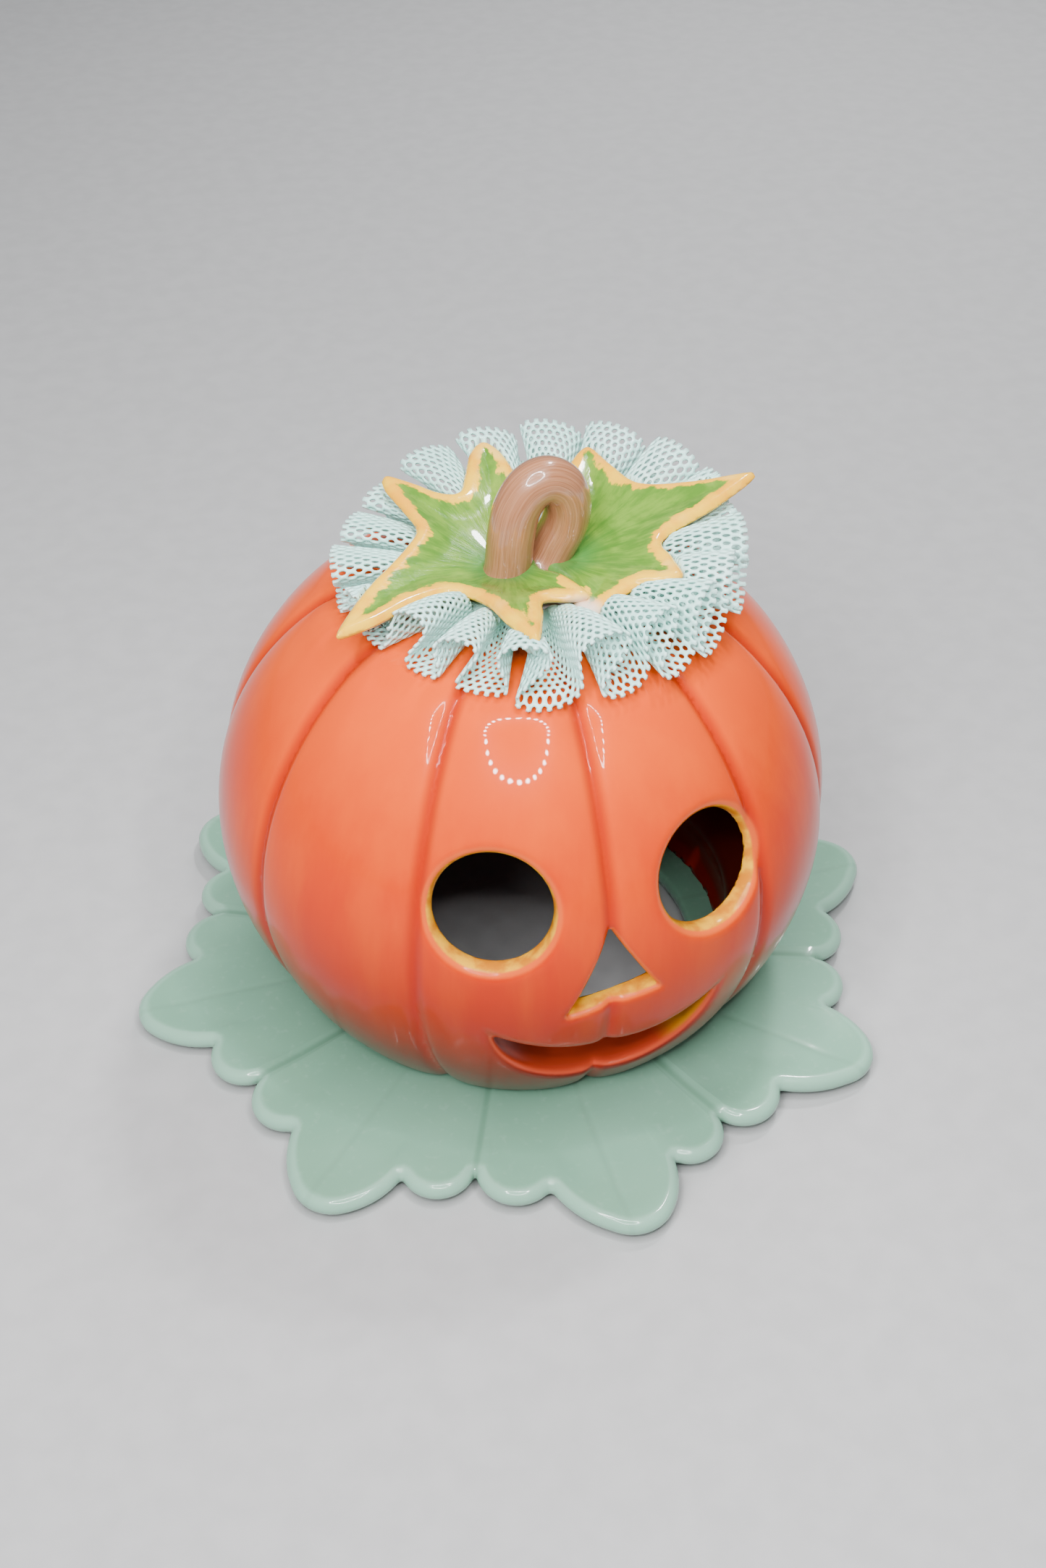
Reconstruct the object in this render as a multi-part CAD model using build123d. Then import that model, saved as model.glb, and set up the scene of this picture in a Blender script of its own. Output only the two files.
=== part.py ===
from build123d import *
from math import cos, hypot, radians, sin, sqrt
import os

# A ceramic pumpkin lantern on a plate of leaves, in millimetres, +Z up.
# The origin is on the table, under the middle of the plate. The pumpkin's face looks along -Y.
# Bearings go round the pumpkin from the middle of its face (-Y) towards +X, in degrees.

# Pumpkin shell: two half ovals of revolution that meet at the widest level
PUMPKIN_RADIUS = 75.0
EQUATOR_Z = 56.6
TOP_HEIGHT = 72.9
BOTTOM_HEIGHT = 80.2
BOTTOM_POWER = 1.853
WALL = 6.0
CROWN_Z = 116.5
# The pumpkin stands a little off the middle of the plate, as set down by hand
PUMPKIN_PLACE = (2.5, 0.4, 0)
GROOVE_DEPTH = 1.3
GROOVE_BEARINGS = (-107.5, -72, -35, 0, 33.5, 64.5, 101, 137, 178, 215)

# Face
EYE_BEARING = 21.5
EYE_Z = 79.5
EYE_DIAMETER = 28.0
NOSE_OUTLINE = ((0, 74), (10.6, 55.6), (-10.2, 51.4))
NOSE_CORNER = 1.5
MOUTH_HALF_WIDTH = 25.9
MOUTH_CORNER_Z = 45.0
MOUTH_TOP_Z = 37.5
MOUTH_BOTTOM_Z = 24.5
MOUTH_TILT = 15.0

# Plate of leaves
LEAF_COUNT = 8
PLATE_TIP_RADIUS = 100.0
PLATE_TOP_Z = 6.5
PLATE_THICKNESS = 4.0
PLATE_HOLE_RADIUS = 46.5
PLATE_EDGE_ROUND = 1.5
PLATE_NOTCH_ROUND = 2.0
FOOT_INNER_RADIUS = 48.0
FOOT_OUTER_RADIUS = 56.0
VEIN_DEPTH = 0.5
VEIN_START = 62.0
VEIN_LENGTH = 32.0
SEAM_START = 60.0
SEAM_LENGTH = 22.0

# Crown: the pad, the two leaves and the stem stand round a point beside the plate's axis
CROWN_X = 5.0
PAD_RADIUS = 14.0
PAD_HEIGHT = 2.7
PAD_CHAMFER = 1.0
LEAF_THICKNESS = 3.6
LEAF_TOP_Z = 122.0
LEAF_SLOPE = 0.14
LEAF_TIP_ROUND = 1.4
LEAF_TILT_BACK = 4.6
RIGHT_LEAF_TILT = 5.2
STEM_RADIUS = 5.5
STEM_Y = 2.0
STEM_FOOT_Z = 121.0

# Lace ruffle
FLUTE_COUNT = 17
RUFFLE_RADIUS = 48.0
RUFFLE_GATHER_RADIUS = 15.0
RUFFLE_GATHER_HEIGHT = 1.0
RUFFLE_RISE_RADIUS = 30.0
RUFFLE_EDGE_HEIGHT = 5.6
FLUTE_DEPTH = 4.0
SOFT_GAP = 0.3

# Longer than any node, for solids that only cut
REACH = 150.0


def at_bearing(radius, bearing, z=0.0):
    """The point at a distance from the pumpkin's axis, on a bearing from the middle of its face."""
    return (radius * sin(radians(bearing)), -radius * cos(radians(bearing)), z)


def polar(radius, degrees):
    """The point at a distance from the Z axis, on an angle from +X."""
    return (radius * cos(radians(degrees)), radius * sin(radians(degrees)))


def shell_radius(z, radius, top_height):
    """The radius of an oval of revolution at height z. The lower half keeps BOTTOM_HEIGHT."""
    if z >= EQUATOR_Z:
        return radius * sqrt(1 - ((z - EQUATOR_Z) / top_height) ** 2)
    fall = (EQUATOR_Z - z) / BOTTOM_HEIGHT
    return radius * (1 - fall**BOTTOM_POWER) ** (1 / BOTTOM_POWER)


def rib_section(z):
    """A level slice of the pumpkin: one arc for each rib, from groove to groove."""
    crest = shell_radius(z, PUMPKIN_RADIUS, TOP_HEIGHT)
    groove = crest - GROOVE_DEPTH
    ends = GROOVE_BEARINGS[1:] + (GROOVE_BEARINGS[0] + 360,)
    arcs = []
    for start, end in zip(GROOVE_BEARINGS, ends):
        middle = at_bearing(crest, (start + end) / 2, z)
        arcs.append(ThreePointArc(at_bearing(groove, start, z), middle, at_bearing(groove, end, z)))
    return Face(Wire(arcs))


def pumpkin_body():
    levels = (PLATE_TOP_Z, 14, 24, 36, 48, 60, 72, 84, 94, 103, 110.5, CROWN_Z)
    return loft([rib_section(z) for z in levels])


def pumpkin_cavity():
    roof_z = CROWN_Z - WALL
    levels = [PLATE_TOP_Z + (roof_z - PLATE_TOP_Z) * step / 9 for step in range(10)]
    wall = [(shell_radius(z, PUMPKIN_RADIUS - WALL, TOP_HEIGHT - WALL), z) for z in levels]
    below = PLATE_TOP_Z - 2
    side = Spline(*[Vector(r, 0, z) for r, z in wall])
    rest = Polyline(
        (wall[-1][0], 0, roof_z),
        (0, 0, roof_z),
        (0, 0, below),
        (wall[0][0], 0, below),
        (wall[0][0], 0, PLATE_TOP_Z),
    )
    profile = Face(Wire([side, *rest.edges()]))
    return revolve(profile, Axis.Z)


def eye_cutter(bearing):
    """A round hole square to the pumpkin's surface."""
    surface_radius = shell_radius(EYE_Z, PUMPKIN_RADIUS, TOP_HEIGHT)
    slope_out = surface_radius / PUMPKIN_RADIUS**2
    slope_up = (EYE_Z - EQUATOR_Z) / TOP_HEIGHT**2
    out = at_bearing(slope_out, bearing, slope_up)
    plane = Plane(origin=at_bearing(surface_radius, bearing, EYE_Z), z_dir=out)
    return plane * Cylinder(EYE_DIAMETER / 2, 5 * WALL)


def nose_cutter():
    corners = Polyline(*[(x, z) for x, z in NOSE_OUTLINE], close=True)
    triangle = fillet(make_face(corners).vertices(), NOSE_CORNER)
    return extrude(Plane.XZ * triangle, PUMPKIN_RADIUS + WALL)


def mouth_cutter():
    """A crescent, cut along a line that falls a little towards the front."""
    out = (0, -cos(radians(MOUTH_TILT)), -sin(radians(MOUTH_TILT)))
    plane = Plane(origin=(0, -PUMPKIN_RADIUS, MOUTH_TOP_Z), x_dir=(1, 0, 0), z_dir=out)
    left = (-MOUTH_HALF_WIDTH, MOUTH_CORNER_Z - MOUTH_TOP_Z)
    right = (MOUTH_HALF_WIDTH, MOUTH_CORNER_Z - MOUTH_TOP_Z)
    upper_lip = ThreePointArc(left, (0, 0), right)
    lower_lip = ThreePointArc(right, (0, MOUTH_BOTTOM_Z - MOUTH_TOP_Z), left)
    crescent = make_face(upper_lip + lower_lip)
    return extrude(plane * crescent, 6 * WALL, both=True)


def pumpkin_shell():
    openings = [eye_cutter(-EYE_BEARING), eye_cutter(EYE_BEARING), nose_cutter(), mouth_cutter()]
    return Pos(*PUMPKIN_PLACE) * (pumpkin_body() - pumpkin_cavity() - openings)


def plate_leaf_edges(tip_angle):
    """The outer edge of one leaf of the plate: a side lobe, the long middle lobe and a side lobe."""
    seam = PLATE_TIP_RADIUS * 0.795
    lobe_notch = PLATE_TIP_RADIUS * 0.839
    side_tip = PLATE_TIP_RADIUS * 0.873
    flank = PLATE_TIP_RADIUS * 0.912
    shoulder = PLATE_TIP_RADIUS * 0.972
    half_turn = 180 / LEAF_COUNT

    def arc(start, middle, end):
        points = [polar(radius, tip_angle + angle) for radius, angle in (start, middle, end)]
        return ThreePointArc(*points)

    return [
        arc((seam, -half_turn), (side_tip, -16.2), (lobe_notch, -10.5)),
        arc((lobe_notch, -10.5), (flank, -8.1), (shoulder, -4.7)),
        arc((shoulder, -4.7), (PLATE_TIP_RADIUS, 0), (shoulder, 4.7)),
        arc((shoulder, 4.7), (flank, 8.1), (lobe_notch, 10.5)),
        arc((lobe_notch, 10.5), (side_tip, 16.2), (seam, half_turn)),
    ]


def groove_cutter(start, length):
    """A V groove along +X in the plate's top."""
    side = VEIN_DEPTH * sqrt(2)
    bar = Rot(45, 0, 0) * Box(length, side, side, align=(Align.MIN, Align.CENTER, Align.CENTER))
    return Pos(start, 0, PLATE_TOP_Z) * bar


def leaf_plate():
    step = 360 / LEAF_COUNT
    edges = []
    for leaf in range(LEAF_COUNT):
        edges += plate_leaf_edges(leaf * step)
    outline = Sketch() + Face(Wire(edges))
    inner = 0.9 * PLATE_TIP_RADIUS
    notches = [corner for corner in outline.vertices() if hypot(corner.X, corner.Y) < inner]
    outline = fillet(notches, PLATE_NOTCH_ROUND)
    underside = PLATE_TOP_Z - PLATE_THICKNESS
    plate = extrude(Pos(0, 0, underside) * outline, PLATE_THICKNESS)
    rims = plate.edges().filter_by(lambda edge: abs(edge.bounding_box().size.Z) < 0.01)
    plate = fillet(rims, PLATE_EDGE_ROUND)
    foot = Cylinder(FOOT_OUTER_RADIUS, underside, align=(Align.CENTER, Align.CENTER, Align.MIN))
    plate += foot
    plate -= Cylinder(PLATE_HOLE_RADIUS, REACH)
    plate -= Cylinder(FOOT_INNER_RADIUS, 2 * underside)
    grooves = []
    for leaf in range(LEAF_COUNT):
        grooves.append(Rot(0, 0, leaf * step) * groove_cutter(VEIN_START, VEIN_LENGTH))
        grooves.append(Rot(0, 0, (leaf + 0.5) * step) * groove_cutter(SEAM_START, SEAM_LENGTH))
    return plate - grooves


def leaf_prism(outline):
    """A tall prism over a leaf's outline: tips and notches, with a point on each edge between them."""
    corners = outline[::2]
    middles = outline[1::2]
    edges = []
    for start, middle, end in zip(corners, middles, corners[1:] + corners[:1]):
        edges.append(ThreePointArc(start, middle, end))
    shrunk = offset(Face(Wire(edges)), -LEAF_TIP_ROUND)
    rounded = offset(shrunk, LEAF_TIP_ROUND, kind=Kind.ARC)
    return extrude(Pos(0, 0, CROWN_Z) * rounded, REACH, dir=(0, 0, 1))


def leaf_dish(center, flat_radius, tilt_back, tilt_right):
    """A shallow dish of even thickness, tilted up towards +Y and +X."""
    rise = (REACH - flat_radius) * LEAF_SLOPE
    top = ((0, 0), (flat_radius, 0), (REACH, rise))
    bottom = tuple((r, z - LEAF_THICKNESS) for r, z in reversed(top))
    profile = make_face(Polyline(*[(r, 0, z) for r, z in top + bottom], close=True))
    dish = revolve(profile, Axis.Z)
    return Pos(*center, LEAF_TOP_Z) * Rot(tilt_back, -tilt_right, 0) * dish


def left_leaf():
    outline = (
        (-44, -18), (-29, 1), (-18, 14.5), (-20, 23),
        (-21.5, 33.5), (-12, 29.5), (-5, 26.5), (-1, 34),
        (6, 42), (9.5, 26), (6.5, 6), (6, 0),
        (6.3, -3), (8.3, -8), (8.5, -14), (6, -14.6),
        (4, -14), (2, -20), (-2, -27.5), (-6, -15),
        (-13, -5), (-30, -13),
    )
    return leaf_prism(outline) & leaf_dish((0, STEM_Y), 10, LEAF_TILT_BACK, 0)


def right_leaf():
    outline = (
        (28, 30.5), (30, 23), (34.5, 17.5), (48, 12.5),
        (62, 8), (49.5, 2.5), (34.5, -3.5), (35.5, -11),
        (34, -19), (20, -17), (9.5, -21.5), (10, -12),
        (7.2, -3), (7.4, 3), (9, 9), (20, 20),
    )
    return leaf_prism(outline) & leaf_dish((13, 1), 8, LEAF_TILT_BACK, RIGHT_LEAF_TILT)


def stem_loop():
    """A round coil bent into a tall loop: up, over to +X and back in to its second foot."""
    corners = ((0.2, STEM_FOOT_Z), (1.6, 143.4), (16.6, 141.8), (9.8, STEM_FOOT_Z))
    path = FilletPolyline(*[(x, STEM_Y, z) for x, z in corners], radius=[6.0, 6.6])
    section = Plane(origin=path @ 0, z_dir=path % 0) * Circle(STEM_RADIUS)
    return sweep(section, path)


def crown_pad():
    pad = Cylinder(PAD_RADIUS, PAD_HEIGHT, align=(Align.CENTER, Align.CENTER, Align.MIN))
    return Pos(CROWN_X, 0, CROWN_Z) * chamfer(pad.edges().group_by(Axis.Z)[-1], PAD_CHAMFER)


def flute_outline():
    """A round outline with a shallow scallop for each flute."""
    half = 180 / FLUTE_COUNT
    arcs = []
    for flute in range(FLUTE_COUNT):
        middle = 2 * half * flute
        valley = RUFFLE_RADIUS - FLUTE_DEPTH
        points = (polar(valley, middle - half), polar(RUFFLE_RADIUS, middle), polar(valley, middle + half))
        arcs.append(ThreePointArc(*points))
    return Face(Wire(arcs))


def lace_ruffle():
    """The space that the gathered strip fills: thin at the gather and deeper at its scalloped edge."""
    beyond = RUFFLE_RADIUS + 2
    profile = make_face(
        Polyline(
            (RUFFLE_GATHER_RADIUS, 0, 0),
            (beyond, 0, 0),
            (beyond, 0, RUFFLE_EDGE_HEIGHT),
            (RUFFLE_RISE_RADIUS, 0, RUFFLE_GATHER_HEIGHT),
            (RUFFLE_GATHER_RADIUS, 0, RUFFLE_GATHER_HEIGHT),
            close=True,
        )
    )
    ring = revolve(profile, Axis.Z) & extrude(flute_outline(), RUFFLE_EDGE_HEIGHT)
    return Pos(CROWN_X, 0, CROWN_Z + SOFT_GAP) * ring


def build():
    """All nodes by name. The stem is bedded into the leaves, and the leaves into the pad."""
    stem = stem_loop()
    left = left_leaf() - stem
    right = right_leaf() - stem
    return {
        "pumpkin_shell": pumpkin_shell(),
        "leaf_plate": leaf_plate(),
        "lace_ruffle": lace_ruffle(),
        "left_leaf": left,
        "right_leaf": right,
        "stem_loop": stem,
        "crown_pad": crown_pad() - left - right - stem,
    }


os.makedirs("parts", exist_ok=True)
for name, shape in build().items():
    export_step(shape, f"parts/{name}.step")
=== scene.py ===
from math import cos, pi, radians, sin

import bpy
import numpy as np
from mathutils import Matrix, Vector


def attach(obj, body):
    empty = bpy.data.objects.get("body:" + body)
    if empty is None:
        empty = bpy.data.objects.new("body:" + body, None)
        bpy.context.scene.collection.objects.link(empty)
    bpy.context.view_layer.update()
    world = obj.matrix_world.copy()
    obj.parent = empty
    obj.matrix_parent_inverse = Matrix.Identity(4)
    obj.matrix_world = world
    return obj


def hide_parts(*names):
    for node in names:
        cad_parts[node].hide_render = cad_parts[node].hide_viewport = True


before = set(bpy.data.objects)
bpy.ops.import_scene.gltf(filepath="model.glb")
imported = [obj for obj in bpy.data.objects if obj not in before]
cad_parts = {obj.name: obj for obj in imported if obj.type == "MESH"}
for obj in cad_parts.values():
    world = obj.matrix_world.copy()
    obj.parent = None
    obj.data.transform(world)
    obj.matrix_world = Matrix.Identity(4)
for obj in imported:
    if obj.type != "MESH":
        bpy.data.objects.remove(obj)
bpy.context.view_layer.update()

# Shapes are worked out in millimetres, in the CAD frame, and written to the meshes in metres.
# Bearings go round +Z from the middle of the face (-Y) towards +X, in degrees.
MM = 0.001
SEED = 7

# ---- The camera: its place in metres, and its turn in degrees ----
CAMERA_PLACE = (-0.0993, -0.3580, 0.3714)
CAMERA_TURN = (49.888, 0.284, -16.167)
CAMERA_LENS = 44.71
CAMERA_SENSOR = 36.0

# ---- Pumpkin ----
RADIUS = 75.0
EQUATOR_Z = 56.6
TOP_HEIGHT = 72.9
BOTTOM_HEIGHT = 80.2
BOTTOM_POWER = 1.853
WALL = 6.0
# The wall thickens low down, round the mouth
LOW_WALL = 8.0
LOW_WALL_Z = 25.0
LOW_WALL_SPREAD = 9.0
CROWN_Z = 117.5
SEAT_Z = 6.5
CROWN_ROUND = 6.0
SEAT_ROUND = 2.0
CEILING_ROUND = 5.0
# The grooves' bearings
GROOVES = (-107.5, -72.0, -35.0, 0.0, 33.5, 64.5, 101.0, 137.0, 178.0, 215.0)
RIB_SCALLOP = 1.3
RIB_POWER = 3.2
CREASE_DEPTH = 0.75
CREASE_WIDTH = 1.7
# The ribs grow in between these distances from the axis
RIBS_FROM = 8.0
RIBS_TO = 45.0
EYE_BEARING = 21.5
EYE_Z = 79.5
EYE_RADIUS = 14.3
EYE_DEPTH = 30.0
# An eye widens by this share of the way out, up to TAPER_END outside the wall
EYE_TAPER = 0.15
TAPER_END = 2.0
# The nose's corners, as X and Z
NOSE = ((0.0, 72.6), (10.4, 55.4), (-10.0, 51.2))
# The mouth lies between two arcs. Each has its lowest height and its radius.
MOUTH_LOWER = (24.5, 26.6)
MOUTH_UPPER = (37.5, 48.5)
MOUTH_CORNER = 1.0
MOUTH_TILT = 15.0
# The nose and the mouth are cut only in front of this Y
FACE_BACK = -40.0
# How wide the rounding of the openings' edges is
EYE_RIM = 3.6
NOSE_RIM = 2.6
MOUTH_RIM = 3.4
INNER_RIM = 0.9
PUMPKIN_CELL = 1.0
# The pumpkin stands a little off the middle of the plate, as set down by hand
PUMPKIN_PLACE = (2.5, 0.4, 0.0)

# The ruffle's axis lies this far to the right
CROWN_X = 5.0
# Where a distance from an edge no longer matters
FAR_IN = 30.0


def add_camera():
    data = bpy.data.cameras.new("camera")
    data.lens = CAMERA_LENS
    data.sensor_width = CAMERA_SENSOR
    data.clip_start = 0.01
    camera = bpy.data.objects.new("camera", data)
    camera.location = CAMERA_PLACE
    camera.rotation_euler = [radians(turn) for turn in CAMERA_TURN]
    bpy.context.scene.collection.objects.link(camera)
    bpy.context.scene.camera = camera


add_camera()


# ---- Shape tools ----
def smooth_max(a, b, k):
    """The larger of two fields, with a rounded join about k wide."""
    h = np.maximum(k - np.abs(a - b), 0.0) / k
    return np.maximum(a, b) + h * h * k * 0.25


def smooth_min(a, b, k):
    return -smooth_max(-a, -b, k)


def smooth_step(low, high, value):
    t = np.clip((value - low) / (high - low), 0.0, 1.0)
    return t * t * (3 - 2 * t)


def around(bearing, knots):
    """A smooth value round a full turn, through (bearing, value) knots in rising order."""
    angles = np.array([knot[0] for knot in knots], float)
    values = np.array([knot[1] for knot in knots], float)
    angles = np.append(angles, angles[0] + 360.0)
    values = np.append(values, values[0])
    turned = (np.asarray(bearing) - angles[0]) % 360.0 + angles[0]
    index = np.clip(np.searchsorted(angles, turned, side="right") - 1, 0, len(knots) - 1)
    t = (turned - angles[index]) / (angles[index + 1] - angles[index])
    t = t * t * (3 - 2 * t)
    return values[index] * (1 - t) + values[index + 1] * t


def unit(vectors):
    return vectors / np.maximum(np.linalg.norm(vectors, axis=-1, keepdims=True), 1e-9)


def bearing_of(x, y):
    return np.degrees(np.arctan2(x, -y))


def gradient(field, points, step=0.05):
    slopes = []
    for axis in range(3):
        move = np.zeros(3)
        move[axis] = step
        slopes.append((field(points + move) - field(points - move)) / (2 * step))
    return np.stack(slopes, -1)


SETTLING_STEPS = 4


def surface_net(field, low, high, cell):
    """Points and quads of the closed surface where the field is zero. The field is negative inside."""
    low = np.array(low, float)
    counts = np.ceil((np.array(high) - low) / cell).astype(int) + 1
    axes = [low[axis] + cell * np.arange(counts[axis]) for axis in range(3)]
    values = np.empty(counts)
    for row in range(counts[0]):
        y, z = np.meshgrid(axes[1], axes[2], indexing="ij")
        slab = np.stack([np.full_like(y, axes[0][row]), y, z], -1)
        values[row] = field(slab.reshape(-1, 3)).reshape(y.shape)
    inside = values < 0
    strides = np.array([counts[1] * counts[2], counts[2], 1])
    total = np.zeros((int(np.prod(counts)), 3))
    hits = np.zeros(len(total))
    quads = []
    for axis in range(3):
        first = [slice(None)] * 3
        second = [slice(None)] * 3
        first[axis] = slice(0, -1)
        second[axis] = slice(1, None)
        crossed = np.argwhere(inside[tuple(first)] != inside[tuple(second)])
        start = values[tuple(crossed.T)]
        after = crossed.copy()
        after[:, axis] += 1
        share = start / (start - values[tuple(after.T)])
        place = crossed.astype(float)
        place[:, axis] += share
        u, v = (axis + 1) % 3, (axis + 2) % 3
        home = crossed @ strides
        ring = [home, home - strides[u], home - strides[u] - strides[v], home - strides[v]]
        for cells in ring:
            for part in range(3):
                total[:, part] += np.bincount(cells, place[:, part], len(total))
            hits += np.bincount(cells, minlength=len(total))
        quad = np.stack(ring, -1)
        quad[start > 0] = quad[start > 0][:, ::-1]
        quads.append(quad)
    used = np.flatnonzero(hits)
    number = np.full(len(total), -1)
    number[used] = np.arange(len(used))
    points = low + cell * total[used] / hits[used][:, None]
    for _ in range(SETTLING_STEPS):
        slope = gradient(field, points)
        length = np.maximum((slope * slope).sum(-1), 1e-6)
        move = field(points) / length
        step = slope * move[:, None]
        size = np.linalg.norm(step, axis=-1, keepdims=True)
        points = points - step * np.minimum(1.0, 0.5 * cell / np.maximum(size, 1e-9))
    return points, number[np.concatenate(quads)], unit(gradient(field, points))


def make_mesh(name, points, faces, normals=None, **attributes):
    """A smooth-shaded object from points in millimetres, with float attributes for its materials."""
    mesh = bpy.data.meshes.new(name)
    listed = faces if isinstance(faces, list) else faces.tolist()
    mesh.from_pydata((np.asarray(points) * MM).tolist(), [], listed)
    mesh.shade_smooth()
    if normals is not None:
        mesh.normals_split_custom_set_from_vertices(np.asarray(normals).tolist())
    for key, values in attributes.items():
        layer = mesh.attributes.new(key, "FLOAT", "POINT")
        layer.data.foreach_set("value", np.asarray(values, np.float32))
    piece = bpy.data.objects.new(name, mesh)
    bpy.context.scene.collection.objects.link(piece)
    return piece


def segment_distance(x, y, outline):
    """The distance inside (negative) or outside a closed outline, a list of (x, y) corners."""
    nearest = np.full(x.shape, 1e9)
    wrong_side = np.zeros(x.shape, bool)
    for (ax, ay), (bx, by) in zip(outline, outline[1:] + outline[:1]):
        dx, dy = bx - ax, by - ay
        t = np.clip(((x - ax) * dx + (y - ay) * dy) / (dx * dx + dy * dy), 0, 1)
        nearest = np.minimum(nearest, (x - ax - t * dx) ** 2 + (y - ay - t * dy) ** 2)
        if by != ay:
            crosses = ((ay > y) != (by > y)) & (x < dx * (y - ay) / dy + ax)
            wrong_side ^= crosses
    distance = np.sqrt(nearest)
    return np.where(wrong_side, -distance, distance)


def curve_between(p0, p1, p2, p3, steps):
    """Points of a Catmull-Rom curve from p1 on towards p2."""
    points = []
    for t in np.arange(steps) / steps:
        square = (2 * p0 - 5 * p1 + 4 * p2 - p3) * t * t
        cube = (3 * p1 - p0 - 3 * p2 + p3) * t**3
        points.append(0.5 * (2 * p1 + (p2 - p0) * t + square + cube))
    return points


def closed_curve(knots, steps=6):
    knots = [np.array(knot, float) for knot in knots]
    count = len(knots)
    curve = []
    for index in range(count):
        corners = (knots[(index + shift) % count] for shift in (-1, 0, 1, 2))
        curve += [tuple(point) for point in curve_between(*corners, steps)]
    return curve


def open_curve(knots, steps):
    knots = np.array(knots, float)
    padded = np.concatenate([[2 * knots[0] - knots[1]], knots, [2 * knots[-1] - knots[-2]]])
    curve = []
    for corners in zip(padded, padded[1:], padded[2:], padded[3:]):
        curve += curve_between(*corners, steps)
    curve.append(knots[-1])
    return np.array(curve)


def band(first, second, count):
    """Quads between two closed rings of points, numbered from first and from second."""
    index = np.arange(count)
    after = (index + 1) % count
    return np.stack([first + index, first + after, second + after, second + index], -1)


# ---- The pumpkin ----
def oval(points, radius, top_height, bottom_height):
    """A half oval over another, meeting at the widest level. Nearly the distance in millimetres."""
    r = np.hypot(points[:, 0], points[:, 1])
    up = points[:, 2] - EQUATOR_Z
    reach = np.hypot(r, up)
    above = np.hypot(r / radius, np.maximum(up, 0) / top_height)
    flat = (r / radius) ** BOTTOM_POWER + (np.maximum(-up, 0) / bottom_height) ** BOTTOM_POWER
    below = flat ** (1 / BOTTOM_POWER)
    scale = np.where(up > 0, above, below)
    return reach * (1 - 1 / np.maximum(scale, 1e-6))


def groove_offset(points):
    """How far each rib's surface lies inside the oval, and the distance to the nearest groove."""
    bearing = bearing_of(points[:, 0], points[:, 1])
    starts = np.array(GROOVES)
    ends = np.append(starts[1:], starts[0] + 360.0)
    turned = (bearing - starts[0]) % 360.0 + starts[0]
    rib = np.clip(np.searchsorted(starts, turned, side="right") - 1, 0, len(starts) - 1)
    across = (turned - starts[rib]) / (ends[rib] - starts[rib])
    side = np.abs(2 * across - 1)
    r = np.hypot(points[:, 0], points[:, 1])
    off = np.radians(np.minimum(turned - starts[rib], ends[rib] - turned)) * r
    fade = smooth_step(RIBS_FROM, RIBS_TO, r)
    crease = CREASE_DEPTH * np.exp(-((off / CREASE_WIDTH) ** 2))
    return fade * (RIB_SCALLOP * side**RIB_POWER + crease), off


def pumpkin_outside(points):
    inset, _ = groove_offset(points)
    body = oval(points, RADIUS, TOP_HEIGHT, BOTTOM_HEIGHT) + inset
    body = smooth_max(body, points[:, 2] - CROWN_Z, CROWN_ROUND)
    return smooth_max(body, SEAT_Z - points[:, 2], SEAT_ROUND)


def pumpkin_inside(points):
    hollow = oval(points, RADIUS - WALL, TOP_HEIGHT - WALL, BOTTOM_HEIGHT)
    from_level = (points[:, 2] - LOW_WALL_Z) / LOW_WALL_SPREAD
    hollow = hollow + LOW_WALL * np.exp(-(from_level**2))
    return smooth_max(hollow, points[:, 2] - CROWN_Z + WALL, CEILING_ROUND)


def eye_field(points, bearing):
    """A round hole that points straight out of the surface at its middle."""
    rise = (EYE_Z - EQUATOR_Z) / TOP_HEIGHT
    surface = RADIUS * np.sqrt(1 - rise * rise)
    out = np.array([surface / RADIUS**2, rise / TOP_HEIGHT])
    out = out / np.linalg.norm(out)
    turn = radians(bearing)
    centre = np.array([surface * sin(turn), -surface * cos(turn), EYE_Z])
    axis = np.array([out[0] * sin(turn), -out[0] * cos(turn), out[1]])
    offset = points - centre
    along = offset @ axis
    away = np.linalg.norm(offset - along[:, None] * axis, axis=-1)
    taper = EYE_TAPER * np.clip(along, -WALL, TAPER_END)
    return np.maximum(away - EYE_RADIUS - taper, -along - EYE_DEPTH)


def nose_field(points):
    flat = segment_distance(points[:, 0], points[:, 2], NOSE)
    return np.maximum(flat, points[:, 1] - FACE_BACK)


def mouth_field(points):
    """A crescent between two arcs, cut along a line that falls towards the front."""
    fall = np.tan(radians(MOUTH_TILT)) * (-RADIUS - points[:, 1])
    height = points[:, 2] - fall
    x = points[:, 0]
    bottom, radius = MOUTH_LOWER
    lower = np.hypot(x, height - (bottom + radius)) - radius
    bottom, radius = MOUTH_UPPER
    upper = radius - np.hypot(x, height - (bottom + radius))
    return np.maximum(smooth_max(lower, upper, MOUTH_CORNER), points[:, 1] - FACE_BACK)


def eyes_field(points):
    return np.minimum(eye_field(points, -EYE_BEARING), eye_field(points, EYE_BEARING))


def pumpkin_field(points):
    """The shell. Its openings have soft outer rims and crisp inner edges."""
    body = smooth_max(pumpkin_outside(points), -eyes_field(points), EYE_RIM)
    body = smooth_max(body, -nose_field(points), NOSE_RIM)
    body = smooth_max(body, -mouth_field(points), MOUTH_RIM)
    return smooth_max(body, -pumpkin_inside(points), INNER_RIM)


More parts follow.
